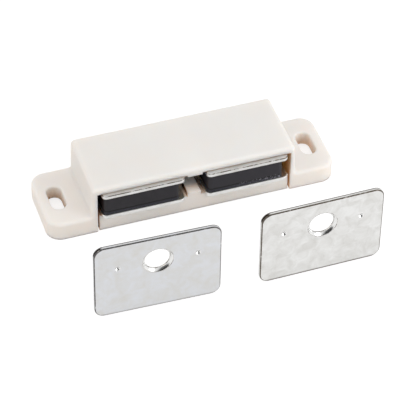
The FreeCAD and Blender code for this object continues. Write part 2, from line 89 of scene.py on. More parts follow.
class CatchColours(PropertyGroup):
    """Colours of the catch's finishes."""

    plastic: colour("Plastic", "F0EFEC", "Skin of the white mouldings")
    plastic_warm: colour("Warm plastic", "EFE9E4", "Where the melt cooled last")
    # Painted shade: the four crevice colours below are laid over the plastic where it sees little open sky,
    # standing for light that has been through the plastic.
    crevice_rim: colour("Crevice rim", "F6E2CC", "Light that has been through the plastic, where a slot begins")
    crevice: colour("Crevice", "E0B080", "The same light further down in slots and gaps")
    crevice_brown: colour("Brown crevice", "B09078", "The same light where it turns dark")
    # Painted light: the plastic emits the two glow colours below.
    wall_glow: colour("Wall glow", "E4A052", "Light that shines through the housing's thin end walls")
    roof_glow: colour("Roof glow", "FFE3CC", "Light that shines through the housing's roof onto the tray")
    crevice_deep: colour("Deep crevice", "1E150E", "What is left of that light deep in the housing")
    ferrite: colour("Ferrite", "1D1C1F", "Fired skin of the magnets")
    ferrite_cloud: colour("Clouded ferrite", "2D2B31", "Drift of that skin's colour")
    ferrite_light: colour("Lighter ferrite", "28272D", "Fired skin of the right magnet, a little paler")
    # The band along the foot is drawn paler than the rest of each magnet, with a dark line over it; its cause is
    # not known.
    ferrite_pale: colour("Pale ferrite", "2C2D36", "Band along the foot, paler from the press")
    # Painted highlight: glints on chipped grains along the magnets' foot.
    ferrite_chip_glint: colour("Chipped ferrite", "9C9CA6", "Broken grains that catch the light")
    zinc: colour("Zinc", "E0E0DF", "Fresh plating")
    zinc_cool: colour("Cool zinc", "D2D4D8", "Fresh plating of the left strike, a little bluer")
    zinc_cloud: colour("Clouded zinc", "CDCCC9", "Patches where the plating has dulled")
    burr: colour("Burr", "5E564E", "Bare steel along sheared edges")
    # Painted reflection: a dark arc just inside each strike's upper left corner.
    corner_reflection: colour("Smear", "241F1C", "Drawing oil left in the strikes' upper corners")
    burr_cool: colour("Cool burr", "5C5A5A", "Bare steel along the left strike's edges, a little bluer")


class CatchSizes(PropertyGroup):
    """Sizes of the pressed steel pieces and of the finishes' patterns."""

    pole_corner: length("Pole plate corner", 1.5, "Corner radius of the pole plates")
    pole_edge: length("Pole plate edge", 0.2, "Rounding of the pole plates' sheared edges")
    strike_length: length("Strike length", 37.5, "Strike plate from end to end")
    strike_height: length("Strike height", 26.8, "Strike plate from edge to edge")
    strike_sheet: length("Strike sheet", 1.25, "Thickness of the strike plates")
    strike_corner: length("Strike corner", 3.0, "Corner radius of the strike plates")
    strike_edge: length("Strike edge", 0.3, "Rounding of the strike plates' sheared edges")
    strike_tear: length("Strike tear", 0.45, "Torn part of the strike plates' sheared sides, at the rear")
    strike_bore: length("Strike hole", 7.4, "Screw hole in the strike plates")
    sink_rim: length("Countersink", 0.8, "Countersink past the hole, all round")
    hole_level: length("Hole level", 18.0, "Hole and pips above the strike's lower edge")
    pip_spacing: length("Pip spacing", 23.7, "Between the two pips of a strike")
    pip_width: length("Pip", 1.3, "Punched pip at the face")
    pip_depth: length("Pip depth", 0.7, "Depth of a pip's pit")
    pip_reach: length("Pip point", 0.8, "Point that a pip raises behind the sheet")
    skin_grain: length("Skin grain", 0.3, "Sparked texture of the mould")
    flow_cloud: length("Flow clouds", 14.0, "Drift of the plastic's colour")
    ferrite_grain: length("Ferrite grain", 0.35, "Grains of the magnets, larger than real ones to show")
    ferrite_band: length("Ferrite band", 1.7, "Height of the paler band at the magnets' foot and its dark line")
    zinc_patch: length("Zinc patches", 3.6, "Dulled patches of the plating")
    zinc_speck: length("Zinc specks", 1.5, "Bare specks of the plating, in drifts along the edges")
    # Painted shade: how far off a wall a crevice is painted tan.
    crevice_reach: length("Crevice reach", 6.0, "How far off a wall warms a crevice")
    pad_half: length("Pad half", 4.0, "How far to each side of the middle the tray's pad reaches")
    pad_sky: length("Under the roof", 10.0, "Height that the light through the roof reaches down from")
    dark_depth: length("Dark depth", 5.0, "How far behind the housing's front its inside turns dark")


class CatchStage(PropertyGroup):
    """Light and camera."""

    key_power: FloatProperty(
        name="Key lamp", description="Lamp at the right, near", unit="POWER", min=0, default=0.27,
    )
    fill_power: FloatProperty(
        name="Fill lamp", description="Lamp at the left", unit="POWER", min=0, default=0.27,
    )
    key_size: length("Key lamp size", 120, "Side of the square lamp at the right")
    fill_size: length("Fill lamp size", 200, "Side of the square lamp at the left")
    sky: FloatProperty(
        name="Sky", description="Strength of the white surround on matt surfaces", min=0, default=0.775,
    )
    lens: FloatProperty(name="Lens", description="Focal length on a 36 mm sensor", min=1, default=207.486)


WHITE = (1.0, 1.0, 1.0)
BLACK = (0.0, 0.0, 0.0)


def output(node, identifier):
    """A node's output, found by its identifier."""
    return next(s for s in node.outputs if s.identifier == identifier)


def add_node(tree, kind, links=None, give=None, stops=(), **settings):
    """Adds a node with its settings and links.

    links maps an input's identifier to a value or to the output that feeds it, stops gives a ramp's places and
    colours, and give names the output that is handed back instead of the node.
    """
    node = tree.nodes.new(kind)
    for setting, value in settings.items():
        setattr(node, setting, value)
    for identifier, value in (links or {}).items():
        socket = next(s for s in node.inputs if s.identifier == identifier)
        if isinstance(value, bpy.types.NodeSocket):
            tree.links.new(value, socket)
        elif socket.type == "RGBA":
            socket.default_value = (*value, 1.0)
        else:
            socket.default_value = value
    for index, (place, tint) in enumerate(stops):
        point = node.color_ramp.elements[index] if index < 2 else node.color_ramp.elements.new(place)
        point.position = place
        point.color = (*tint, 1.0)
    return node if give is None else output(node, give)


def new_material(name):
    """An empty node material and its tree."""
    material = bpy.data.materials.new(name)
    material.use_nodes = True
    material.node_tree.nodes.clear()
    return material, material.node_tree


def noise(tree, place, size, detail, **more):
    """Noise with features of this size."""
    links = {"Vector": place, "Scale": 1.0 / size, "Detail": detail, **more}
    return add_node(tree, "ShaderNodeTexNoise", links, give="Fac")


def span(tree, value, start, end, low=0.0, high=1.0):
    """Carries a value over from the range start to end into the range low to high, and no further."""
    links = {"Value": value, "From Min": start, "From Max": end, "To Min": low, "To Max": high}
    return add_node(tree, "ShaderNodeMapRange", links, give="Result")


def combined(tree, operation, first, second, **settings):
    """Two values joined by one operation."""
    links = {"Value": first, "Value_001": second}
    return add_node(tree, "ShaderNodeMath", links, give="Value", operation=operation, **settings)


def mix(tree, factor, first, second, blend="MIX"):
    """The second colour laid over the first."""
    links = {"Factor_Float": factor, "A_Color": first, "B_Color": second}
    return add_node(
        tree, "ShaderNodeMix", links, give="Result_Color", data_type="RGBA", blend_type=blend,
    )


def ramp(tree, factor, *stops):
    """A ramp between the colours of its first two stops, with any further stops put in between."""
    return add_node(tree, "ShaderNodeValToRGB", {"Fac": factor}, give="Color", stops=stops)


def bump(tree, height, strength, depth):
    """Fine relief, too small to model."""
    links = {"Strength": strength, "Distance": depth, "Height": height}
    return add_node(tree, "ShaderNodeBump", links, give="Normal")


def coat(tree, settings):
    """Ends a material's tree with its principled shader."""
    shader = add_node(tree, "ShaderNodeBsdfPrincipled", settings, give="BSDF")
    add_node(tree, "ShaderNodeOutputMaterial", {"Surface": shader})


# Shares of open sky for the painted crevice shade: where a crevice is painted tan, where the tan has paled, and
# where it has gone.
CREVICE_SKY, RIM_SKY, OPEN_SKY = 0.1, 0.36, 0.5
# Shares of open sky between which a place turns from open to shut in.
AJAR_SKY, SHUT_SKY = 0.48, 0.25
# How far a place has turned dark where the painted shade inside is brown.
BROWN_AT = 0.45
# Light through the roof, over this depth behind the front: shares where it begins, is full, fades and ends.
ROOF_GLOW_DEPTH = 10 * MM
ROOF_GLOW_STOPS = ((0.04, BLACK), (0.45, BLACK), (0.1, WHITE), (0.2, WHITE))
# Strength of the light through the wall and the roof, and of the paler light past the wall.
GLOW, PALE_GLOW = 0.2, 0.09
ABS_ROUGHNESS = (0.5, 0.6)
ABS_IOR = 1.54
# The sparked skin mirrors less than a plain one, and lets its red light a little further in than its blue.
ABS_SPECULAR = 0.25
ABS_RADIUS = (1.0, 0.9, 0.8)
ABS_DEPTH = 2.5 * MM


def moulded_abs(name, colours, sizes, front, walls):
    """Injection-moulded ABS, pigmented white.

    A satin skin with the mould's fine sparked texture, a colour that drifts with the flow of the melt, and
    light that goes a little way in. Slots and gaps are painted tan where they see little open sky, a painted
    shade that stands for light through the plastic, and behind the front and between the end walls the inside
    is painted brown to nearly black, painted shade where that light runs out. A faint glow, put where the
    photograph shows it, stands for the light that comes through the right end wall and through the roof onto
    the tray's pad: painted light.
    """
    material, tree = new_material(name)
    place = add_node(tree, "ShaderNodeTexCoord", give="Object")
    along, back, height = add_node(tree, "ShaderNodeSeparateXYZ", {"Vector": place}).outputs
    off_middle = add_node(tree, "ShaderNodeMath", {"Value": along}, give="Value", operation="ABSOLUTE")
    open_sky = add_node(
        tree, "ShaderNodeAmbientOcclusion", {"Color": WHITE, "Distance": sizes.crevice_reach},
        give="AO", samples=8,
    )
    shut_in = span(tree, open_sky, AJAR_SKY, SHUT_SKY)

    flow = noise(tree, place, sizes.flow_cloud, 3.0)
    base = mix(tree, flow, colours.plastic, colours.plastic_warm)
    # Painted shade: slots and gaps turn tan where little open sky reaches them.
    tan = ramp(
        tree, open_sky, (CREVICE_SKY, colours.crevice), (OPEN_SKY, WHITE), (RIM_SKY, colours.crevice_rim),
    )
    crevice_shaded = mix(tree, 1.0, base, tan, "MULTIPLY")
    between_walls = span(tree, off_middle, walls, walls - MM)
    behind_front = span(tree, back, front + MM, front + sizes.dark_depth)
    inside = combined(tree, "MULTIPLY", between_walls, behind_front)
    unlit = combined(tree, "MULTIPLY", inside, shut_in)
    # Painted shade: the inside behind the front and between the end walls turns brown, then nearly black.
    painted_dark_inside = ramp(
        tree, unlit, (0.0, WHITE), (1.0, colours.crevice_deep), (BROWN_AT, colours.crevice_brown),
    )
    skin = mix(tree, 1.0, crevice_shaded, painted_dark_inside, "MULTIPLY")

    # Painted light: the plastic glows through the right end wall and through the roof onto the tray's pad.
    from_side = combined(tree, "MULTIPLY", span(tree, along, walls - MM, walls), shut_in)
    past_wall = span(tree, along, walls + MM, walls + 2 * MM)
    under_roof = ramp(tree, span(tree, back, front, front + ROOF_GLOW_DEPTH), *ROOF_GLOW_STOPS)
    on_pad = span(tree, off_middle, sizes.pad_half + MM, sizes.pad_half)
    below_roof = span(tree, height, sizes.pad_sky + MM, sizes.pad_sky)
    pad_part = combined(tree, "MULTIPLY", on_pad, below_roof)
    open_part = combined(tree, "SUBTRACT", pad_part, shut_in, use_clamp=True)
    from_roof = combined(tree, "MULTIPLY", under_roof, open_part)
    paler = combined(tree, "MAXIMUM", past_wall, from_roof)
    painted_glow_mask = combined(tree, "ADD", from_side, from_roof)
    brightness = span(tree, past_wall, 0.0, 1.0, GLOW, PALE_GLOW)

    grain = noise(tree, place, sizes.skin_grain, 2.0)
    coat(tree, {
        "Base Color": skin, "Roughness": span(tree, flow, 0.0, 1.0, *ABS_ROUGHNESS), "IOR": ABS_IOR,
        "Specular IOR Level": ABS_SPECULAR, "Normal": bump(tree, grain, 0.12, 0.02 * MM),
        "Subsurface Weight": 1.0, "Subsurface Radius": ABS_RADIUS, "Subsurface Scale": ABS_DEPTH,
        "Emission Color": mix(tree, paler, colours.wall_glow, colours.roof_glow),
        "Emission Strength": combined(tree, "MULTIPLY", painted_glow_mask, brightness),
    })
    return material


# Width of the drift in the ferrite's colour, in grains, and how far it frays the band along the foot.
FERRITE_CLOUD_GRAINS = 6
FERRITE_FRAY = 0.3 * MM
# Shares of the band's height: where its pale part ends, where it is dark, and where the dark line fades out.
BAND_PALE, BAND_DARK, LINE_FADES = 0.55, 0.7, 0.9
# Levels of the grain's noise between which a grain is chipped and gets a painted glint.
CHIP_STOPS = ((0.58, BLACK), (0.66, WHITE))
# Lower than ferrite's own index, so that the matt skin stays as dark as it looks.
FERRITE_IOR = 1.33
FERRITE_ROUGHNESS = 0.55


def sintered_ferrite(name, colours, sizes, fired, foot, chipped):
    """Sintered ferrite, pressed and fired: matt charcoal, close-grained.

    A paler band runs along the foot with a dark line over it, and chipped grains there get a painted glint, a
    painted highlight. Along X they begin at the first place that chipped gives and are thickest at the second.
    """
    material, tree = new_material(name)
    place = add_node(tree, "ShaderNodeTexCoord", give="Object")
    axes = add_node(tree, "ShaderNodeSeparateXYZ", {"Vector": place})
    cloud = noise(tree, place, FERRITE_CLOUD_GRAINS * sizes.ferrite_grain, 5.0)
    shade = mix(tree, cloud, fired, colours.ferrite_cloud)
    ragged = span(tree, cloud, 0.0, 1.0, -FERRITE_FRAY, FERRITE_FRAY)
    level = combined(tree, "ADD", output(axes, "Z"), ragged)
    rise = span(tree, level, foot, foot + sizes.ferrite_band)
    band = ramp(tree, rise, (BAND_PALE, colours.ferrite_pale), (BAND_DARK, BLACK))
    line = ramp(tree, rise, (LINE_FADES, WHITE), (1.0, BLACK))
    skin = mix(tree, line, shade, band)
    grain = noise(tree, place, sizes.ferrite_grain, 2.0)
    wear_and_painted_light = span(tree, output(axes, "X"), *chipped)
    low = combined(tree, "MULTIPLY", wear_and_painted_light, line)
    glint = combined(tree, "MULTIPLY", low, ramp(tree, grain, *CHIP_STOPS))
    coat(tree, {
        "Base Color": mix(tree, glint, skin, colours.ferrite_chip_glint), "Roughness": FERRITE_ROUGHNESS,
        "IOR": FERRITE_IOR, "Normal": bump(tree, grain, 0.25, 0.03 * MM),
    })
    return material


# Levels of the patches' noise between which the plating goes from bright to dull.
DULL_FROM, DULL_WHOLLY = 0.35, 0.7
# The same for the specks, without wear, and how far full wear lowers both.
SPECK_FROM, SPECK_WHOLLY, WEAR_REACH = 0.7, 0.82, 0.45
# Heights between which the painted shade along a strike's foot fades out.
FOOT_LINE, FOOT_LINE_TOP = 0.5 * MM, 0.75 * MM
# The painted reflection's fading inner rim, inside the corner's radius.
REFLECTION_INNER, REFLECTION_OUTER = 0.55 * MM, 0.3 * MM
# How far left of the corner's centre the painted reflection begins and is full, and how far above it it is full.
REFLECTION_LEFT, REFLECTION_LEFT_FULL, REFLECTION_RISE = -0.2 * MM, -1.0 * MM, 0.8 * MM


def zinc_plated_steel(name, bright, dull, bare, sizes, wear, gloss=(0.3, 0.5), foot=0.0, corner_reflection=None):
    """Zinc-plated mild steel, sheared from strip: silvery, softly blurred, with dulled clouds and dark specks.

    wear is the share of the skin that shows bare steel, from almost none at 0 to nearly all of it at 1, and
    gloss gives the least and the greatest roughness. foot is the strength of a painted shade along the lower
    edge, drawn in the bare steel's colour.
    The last argument gives the tint, centre and radius of a painted reflection, a dark arc in an upper left
    corner.
    """
    material, tree = new_material(name)
    place = add_node(tree, "ShaderNodeTexCoord", give="Object")
    patch = noise(tree, place, sizes.zinc_patch, 8.0, Roughness=0.62, Distortion=0.6)
    cloud = ramp(tree, patch, (DULL_FROM, bright), (DULL_WHOLLY, dull))
    speck = noise(tree, place, sizes.zinc_speck, 5.0, Roughness=0.75)
    wear_and_painted_light = ramp(
        tree, speck, (SPECK_FROM - WEAR_REACH * wear, BLACK), (SPECK_WHOLLY - WEAR_REACH * wear, WHITE),
    )
    if foot:
        # Painted shade: a dark line along the foot, where the strike meets the floor.
        height = add_node(tree, "ShaderNodeSeparateXYZ", {"Vector": place}, give="Z")
        foot_shade = span(tree, height, FOOT_LINE_TOP, FOOT_LINE, 0.0, foot)
        wear_and_painted_light = combined(tree, "MAXIMUM", wear_and_painted_light, foot_shade)
    skin = mix(tree, wear_and_painted_light, cloud, bare)
    # Painted reflection: a dark arc laid just inside an upper left corner.
    if corner_reflection:
        tint, centre, radius = corner_reflection
        skin = mix(tree, painted_reflection_strength(tree, place, centre, radius), skin, tint)
    coat(tree, {
        "Base Color": skin, "Metallic": 1.0, "Roughness": span(tree, patch, 0.0, 1.0, *gloss),
        "Normal": bump(tree, patch, 0.15, 0.05 * MM),
    })
    return material


def painted_reflection_strength(tree, place, centre, radius):
    """How strongly a place gets the painted reflection: an arc up and left of a corner's centre, just inside its
    radius.
    """
    reach = add_node(
        tree, "ShaderNodeVectorMath", {"Vector": place, "Vector_001": centre}, give="Vector",
        operation="SUBTRACT",
    )
    flat = add_node(
        tree, "ShaderNodeVectorMath", {"Vector": reach, "Vector_001": (1, 0, 1)}, give="Vector",
        operation="MULTIPLY",
    )
    distance = add_node(tree, "ShaderNodeVectorMath", {"Vector": flat}, give="Value", operation="LENGTH")
    ring = span(tree, distance, radius - REFLECTION_INNER, radius - REFLECTION_OUTER)
    axes = add_node(tree, "ShaderNodeSeparateXYZ", {"Vector": flat})
    leftwards = span(tree, output(axes, "X"), REFLECTION_LEFT, REFLECTION_LEFT_FULL)
    rising = span(tree, output(axes, "Z"), 0.0, REFLECTION_RISE)
    corner = combined(tree, "MULTIPLY", leftwards, rising)
    return combined(tree, "MULTIPLY", corner, ring)


def dress(node_name, material):
    """Gives every slot of a CAD node this material."""
    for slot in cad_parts[node_name].material_slots:
        slot.material = material


def clear_selection():
    """Deselects every object before a primitive is added."""
    bpy.ops.object.select_all(action="DESELECT")
    bpy.context.view_layer.objects.active = None


# Cosines: above the first a direction runs across the sheet, below the second it runs along it.
ACROSS, ALONG = 0.99, 0.1
CORNER_SEGMENTS = 10
ROLL_SEGMENTS = 3
RING_POINTS = 96
# Faces that meet at more than this stay sharp.
SHARP_FROM = math.radians(40)


def select_edges(piece, test):
    """Selects the edges that pass the test, in edit mode."""
    bpy.ops.mesh.select_mode(type="EDGE")
    bpy.ops.mesh.select_all(action="DESELECT")
    shape = bmesh.from_edit_mesh(piece.data)
    for edge in shape.edges:
        if test(edge):
            edge.select_set(True)
    bmesh.update_edit_mesh(piece.data)


def corner_edge(edge, thin):
    """True for an edge that runs across the sheet, at one of its corners."""
    start, end = edge.verts
    return abs((start.co - end.co).normalized()[thin]) > ACROSS


def rim_edge(edge, thin):
    """True for an edge between a flat face of the sheet and its sheared side."""
    across = [abs(face.normal[thin]) for face in edge.link_faces]
    return len(across) == 2 and max(across) > ACROSS and min(across) < ALONG


def pressed_blank(name, size, thin, corner, roll, torn=0.0):
    """Models a blank sheared from strip about the origin: corners rounded, both rims rolled over a little.

    thin is the number of the axis that the sheet's thickness lies along. torn is the part of the sheared side,
    at its rear, that tore instead of being cut.
    """
    clear_selection()
    bpy.ops.mesh.primitive_cube_add(size=1.0, location=(0, 0, 0), scale=size)
    blank = bpy.context.object
    blank.name = blank.data.name = name
    bpy.ops.object.transform_apply(location=False, rotation=False, scale=True)
    bpy.ops.object.mode_set(mode="EDIT")
    select_edges(blank, lambda edge: corner_edge(edge, thin))
    bpy.ops.mesh.bevel(offset=corner, segments=CORNER_SEGMENTS, affect="EDGES")
    select_edges(blank, lambda edge: rim_edge(edge, thin))
    bpy.ops.mesh.bevel(offset=roll, segments=ROLL_SEGMENTS, affect="EDGES")
    if torn:
        bpy.ops.mesh.select_all(action="SELECT")
        rear_part = Vector((0, 0, 0))
        rear_part[thin] = size[thin] / 2 - torn
        across = Vector((0, 0, 0))
        across[thin] = 1.0
        bpy.ops.mesh.bisect(plane_co=rear_part, plane_no=across)
    bpy.ops.object.mode_set(mode="OBJECT")
    return blank


def assign_finishes(piece, first, second, test):
    """Gives the piece its first finish, and its second one to the faces that pass the test."""
    bpy.context.view_layer.objects.active = piece
    piece.data.materials.append(first)
    piece.data.materials.append(second)
    bpy.ops.object.mode_set(mode="EDIT")
    bpy.ops.mesh.select_mode(type="FACE")
    bpy.ops.mesh.select_all(action="DESELECT")
    shape = bmesh.from_edit_mesh(piece.data)
    for face in shape.faces:
        if test(face):
            face.select_set(True)
    bmesh.update_edit_mesh(piece.data)
    piece.active_material_index = 1
    bpy.ops.object.material_slot_assign()
    bpy.ops.object.mode_set(mode="OBJECT")


def finish_rim(piece, thin, face_material, rim_material, torn_from=math.inf):
    """Gives the rolled rims, and the side past torn_from along the thickness, their own finish."""
    def rim_face(face):
        lean = abs(face.normal[thin])
        torn = lean < ALONG and face.calc_center_median()[thin] > torn_from
        return ALONG < lean < ACROSS or torn

    assign_finishes(piece, face_material, rim_material, rim_face)


def turned_form(name, rings, centre):
    """Models a solid turned about a line along Y: a circle extruded and resized from ring to ring.

    rings lists the radius and place along Y of each ring.
    """
    clear_selection()
    radius, start = rings[0]
    bpy.ops.mesh.primitive_circle_add(
        vertices=RING_POINTS, radius=radius, fill_type="NGON", location=(centre[0], start, centre[1]),
        rotation=(math.radians(90), 0, 0),
    )
    form = bpy.context.object
    form.name = form.data.name = name
    bpy.ops.object.transform_apply()
    bpy.ops.object.mode_set(mode="EDIT")
    bpy.ops.mesh.select_all(action="SELECT")
    for next_radius, next_start in rings[1:]:
        bpy.ops.mesh.extrude_region_move(TRANSFORM_OT_translate={"value": (0, next_start - start, 0)})
        bpy.ops.transform.resize(
            value=(next_radius / radius,) * 3, center_override=(centre[0], next_start, centre[1]),
        )
        radius, start = next_radius, next_start
    bpy.ops.mesh.select_all(action="SELECT")
    bpy.ops.mesh.normals_make_consistent(inside=False)
    bpy.ops.object.mode_set(mode="OBJECT")
    return form


def combine(piece, other, operation):
    """Cuts the other form out of the piece or joins it on, and drops the other form."""
    bpy.ops.object.select_all(action="DESELECT")
    piece.select_set(True)
    bpy.context.view_layer.objects.active = piece
    joint = piece.modifiers.new(operation.lower(), "BOOLEAN")
    joint.operation = operation
    joint.object = other
    joint.solver = "EXACT"
    joint.material_mode = "TRANSFER"
    bpy.ops.object.modifier_apply(modifier=joint.name)
    mesh = other.data
    bpy.data.objects.remove(other)
    bpy.data.meshes.remove(mesh)


def place_piece(piece, centre, turn=0.0):
    """Turns a finished piece about Z, moves it to its place and leaves its object at the origin."""
    bpy.ops.object.select_all(action="DESELECT")
    piece.select_set(True)
    bpy.context.view_layer.objects.active = piece
    piece.rotation_euler = (0, 0, turn)
    piece.location = centre
    bpy.ops.object.transform_apply(location=True, rotation=True, scale=True)
    bpy.ops.object.shade_smooth_by_angle(angle=SHARP_FROM)
    level = piece.modifiers.new("flat_faces", "WEIGHTED_NORMAL")
    level.keep_sharp = True
    bpy.ops.object.modifier_apply(modifier=level.name)


class CATCH_OT_dress_mouldings(Operator):
    """Gives the housing and the magnet tray their moulded plastic"""

    bl_idname = "catch.dress_mouldings"
    bl_label = "Dress Mouldings"

    def execute(self, context):
        colours = context.scene.catch_colours
        sizes = context.scene.catch_sizes
        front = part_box("housing")[0].y
        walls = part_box("magnet_tray")[1].x
        for name in MOULDINGS:
            dress(name, moulded_abs("moulded_abs_" + name, colours, sizes, front, walls))
        return {"FINISHED"}


class CATCH_OT_dress_magnets(Operator):
    """Gives both magnets their fired ferrite"""

    bl_idname = "catch.dress_magnets"
    bl_label = "Dress Magnets"

    def execute(self, context):
        colours = context.scene.catch_colours
        sizes = context.scene.catch_sizes
        fired = {"left_magnet": colours.ferrite, "right_magnet": colours.ferrite_light}
        for name, chipped in MAGNETS.items():
            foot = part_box(name)[0].z
            material = "sintered_ferrite_" + name
            dress(name, sintered_ferrite(material, colours, sizes, fired[name], foot, chipped))
        return {"FINISHED"}


class CATCH_OT_build_pole_plates(Operator):
    """Models the four pole plates in place of their plain solids"""

    bl_idname = "catch.build_pole_plates"
    bl_label = "Build Pole Plates"

    def execute(self, context):
        colours = context.scene.catch_colours
        sizes = context.scene.catch_sizes
        zinc, cloud, bare = colours.zinc, colours.zinc_cloud, colours.burr
        steel = zinc_plated_steel("zinc_plated_pole_steel", zinc, cloud, bare, sizes, POLE_WEAR)
        burr = zinc_plated_steel("sheared_pole_edge", cloud, cloud, bare, sizes, POLE_BURR_WEAR)
        clean = zinc_plated_steel("clean_pole_edge", zinc, zinc, bare, sizes, POLE_CLEAN_WEAR)
        for name in POLE_PLATES:
            low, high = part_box(name)
            plate = pressed_blank(name + "_pressed", high - low, 2, sizes.pole_corner, sizes.pole_edge)
            finish_rim(plate, 2, steel, burr if "upper" in name else clean)
            place_piece(plate, (low + high) / 2)
            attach(plate, "root")
            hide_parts(name)
        return {"FINISHED"}


# How bare each steel finish is, from 0 to 1.
POLE_WEAR, POLE_BURR_WEAR, POLE_CLEAN_WEAR = 0.05, 0.65, 0.1
# The strikes' rims are drawn nearly all bare: bare sheared steel, and with it a painted dark reflection along
# the rims.
STRIKE_BURR_WEAR, BORE_WEAR = 0.85, 0.5
# Least and greatest roughness where the punch pressed the plating smooth.
PRESSED_GLOSS = (0.18, 0.26)
# Strength of the painted shade along each strike's foot, drawn in the bare steel's colour.
LEFT_FOOT, RIGHT_FOOT = 0.35, 0.8
# The lip that the countersink's edge rolls over, as a share of the countersink's width.
LIP_SHARE = 0.18
# Turned outlines, ring by ring. The pip's point and pit: radius in half pip widths, and place in reaches behind
# the sheet or in depths below its face. The brim: places past the rim and below the face, both in lips.
POINT_RINGS = ((1.4, -0.3), (0.8, 0.3), (0.45, 0.75), (0.12, 1.0))
PIT_RINGS = ((1.6, -0.12), (1.1, 0.12), (0.85, 0.45), (0.35, 0.9), (0.15, 1.0))
BRIM_RINGS = ((2.3, -0.5), (-0.3, 0.5), (-1.5, 1.5))


class CATCH_OT_build_strikes(Operator):
    """Models both strike plates in place of their plain solids"""

    bl_idname = "catch.build_strikes"
    bl_label = "Build Strike Plates"

    def execute(self, context):
        colours = context.scene.catch_colours
        sizes = context.scene.catch_sizes
        pressed = zinc_plated_steel(
            "pressed_strike_steel", colours.zinc, colours.zinc, colours.burr, sizes, 0.0, PRESSED_GLOSS,
        )
        brim_finish = zinc_plated_steel(
            "sheared_bore", colours.zinc_cloud, colours.zinc_cloud, colours.burr, sizes, BORE_WEAR,
        )
        for name, turn in STRIKE_TURNS.items():
            bright, dull, bare, foot = {
                "left_strike_plate": (colours.zinc_cool, colours.zinc_cloud, colours.burr_cool, LEFT_FOOT),
                "right_strike_plate": (colours.zinc, colours.zinc_cloud, colours.burr, RIGHT_FOOT),
            }[name]
            # Partly painted reflection: the rims' bare sheared steel is drawn dark enough to stand also for
            # their dark reflection.
            burr = zinc_plated_steel("sheared_edge_and_dark_reflection_" + name, dull, bare, bare, sizes, STRIKE_BURR_WEAR)
            corner = Vector((
                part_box(name)[0].x + sizes.strike_corner, 0.0, sizes.strike_height - sizes.strike_corner,
            ))
            steel = zinc_plated_steel(
                "zinc_plated_" + name, bright, dull, colours.burr, sizes, 0.0, foot=foot,
                corner_reflection=(colours.corner_reflection, corner, sizes.strike_corner),
            )
            strike = self.model(name + "_pressed", sizes, steel, burr, pressed, brim_finish)
            place_piece(strike, self.centre(name, sizes, turn), turn)
            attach(strike, "root")
            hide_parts(name)
        return {"FINISHED"}

    @staticmethod
    def centre(name, sizes, turn):
        """The middle of the sheet, found from the node's box, past which the pips' points stick out behind."""
        low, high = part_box(name)
        half_slope = abs(math.sin(turn)) * sizes.strike_length / 2
        half_sheet = math.cos(turn) * sizes.strike_sheet / 2
        return Vector(((low.x + high.x) / 2, low.y + half_slope + half_sheet, sizes.strike_height / 2))

    @staticmethod
    def model(name, sizes, steel, burr, pressed, brim_finish):
        """One strike about the middle of its sheet, face towards -Y."""
        size = (sizes.strike_length, sizes.strike_sheet, sizes.strike_height)
        strike = pressed_blank(name, size, 1, sizes.strike_corner, sizes.strike_edge, sizes.strike_tear)
        finish_rim(strike, 1, steel, burr, sizes.strike_sheet / 2 - sizes.strike_tear)
        face = -sizes.strike_sheet / 2
        rear = -face
        level = sizes.hole_level - sizes.strike_height / 2
        bore = sizes.strike_bore / 2
        rim = bore + sizes.sink_rim
        lip = LIP_SHARE * sizes.sink_rim
        sink_end = face + sizes.sink_rim
        past_rear = rear + sizes.strike_sheet / 2
        pip = sizes.pip_width / 2
        for side in (-1, 1):
            middle = (side * sizes.pip_spacing / 2, level)
            point_rings = [(share * pip, rear + part * sizes.pip_reach) for share, part in POINT_RINGS]
            combine(strike, turned_form("point", point_rings, middle), "UNION")
            pit_rings = [(share * pip, face + part * sizes.pip_depth) for share, part in PIT_RINGS]
            pit = turned_form("pit", pit_rings, middle)
            pit.data.materials.append(pressed)
            combine(strike, pit, "DIFFERENCE")
        hole_rings = [(rim + out * lip, face + down * lip) for out, down in BRIM_RINGS]
        hole_rings += [(bore + 0.5 * lip, sink_end - 0.8 * lip), (bore, sink_end), (bore, past_rear)]
        hole = turned_form("hole", hole_rings, (0.0, level))

        def brim_or_bore(part):
            depth = part.calc_center_median().y - face
            return depth < 0.5 * lip or depth > sizes.sink_rim

        assign_finishes(hole, pressed, brim_finish, brim_or_bore)
        combine(strike, hole, "DIFFERENCE")
        bpy.ops.object.mode_set(mode="EDIT")
        bpy.ops.mesh.select_all(action="SELECT")
        bpy.ops.mesh.remove_doubles(threshold=MERGE)
        bpy.ops.mesh.dissolve_degenerate(threshold=MERGE)
        bpy.ops.object.mode_set(mode="OBJECT")
        return strike


FLOOR_SIZE = 6.0
# The floor's colour as it lights the pieces, and the darker one, lifted by a glow, that is seen.
FLOOR_COLOUR = linear("F0E8E0")
FLOOR_SEEN_COLOUR = linear("A0A0A0")
FLOOR_GLOW = 0.78
FILL_TINT = linear("FFF0E2")
# Where the unlit room lies in front of the table, seen from the catch: a little left of the front, and low.
DARK_ROOM = Vector((-0.3, -0.93, 0.2)).normalized()
ROOM_COLOUR = linear("303030")
# Cosines off that direction between which the room fades in.
ROOM_EDGE, ROOM_INSIDE = 0.74, 0.86
KEY_PLACE = Vector((0.2, -0.2, 0.15))
FILL_PLACE = Vector((-0.32, -0.04, 0.34))
CAMERA_PLACE = Vector((-0.168025, -0.500105, 0.498506))
CAMERA_AZIMUTH = math.radians(-19.428)
CAMERA_ELEVATION = math.radians(43.937)
CAMERA_ROLL = math.radians(1.155)
SENSOR_WIDTH = 36.0
NEAREST_SEEN = 0.01


def seen_directly(tree, rays):
    """1 for rays of the camera or of a mirror, 0 for light that only falls on something."""
    return combined(tree, "ADD", output(rays, "Is Camera Ray"), output(rays, "Is Glossy Ray"), use_clamp=True)


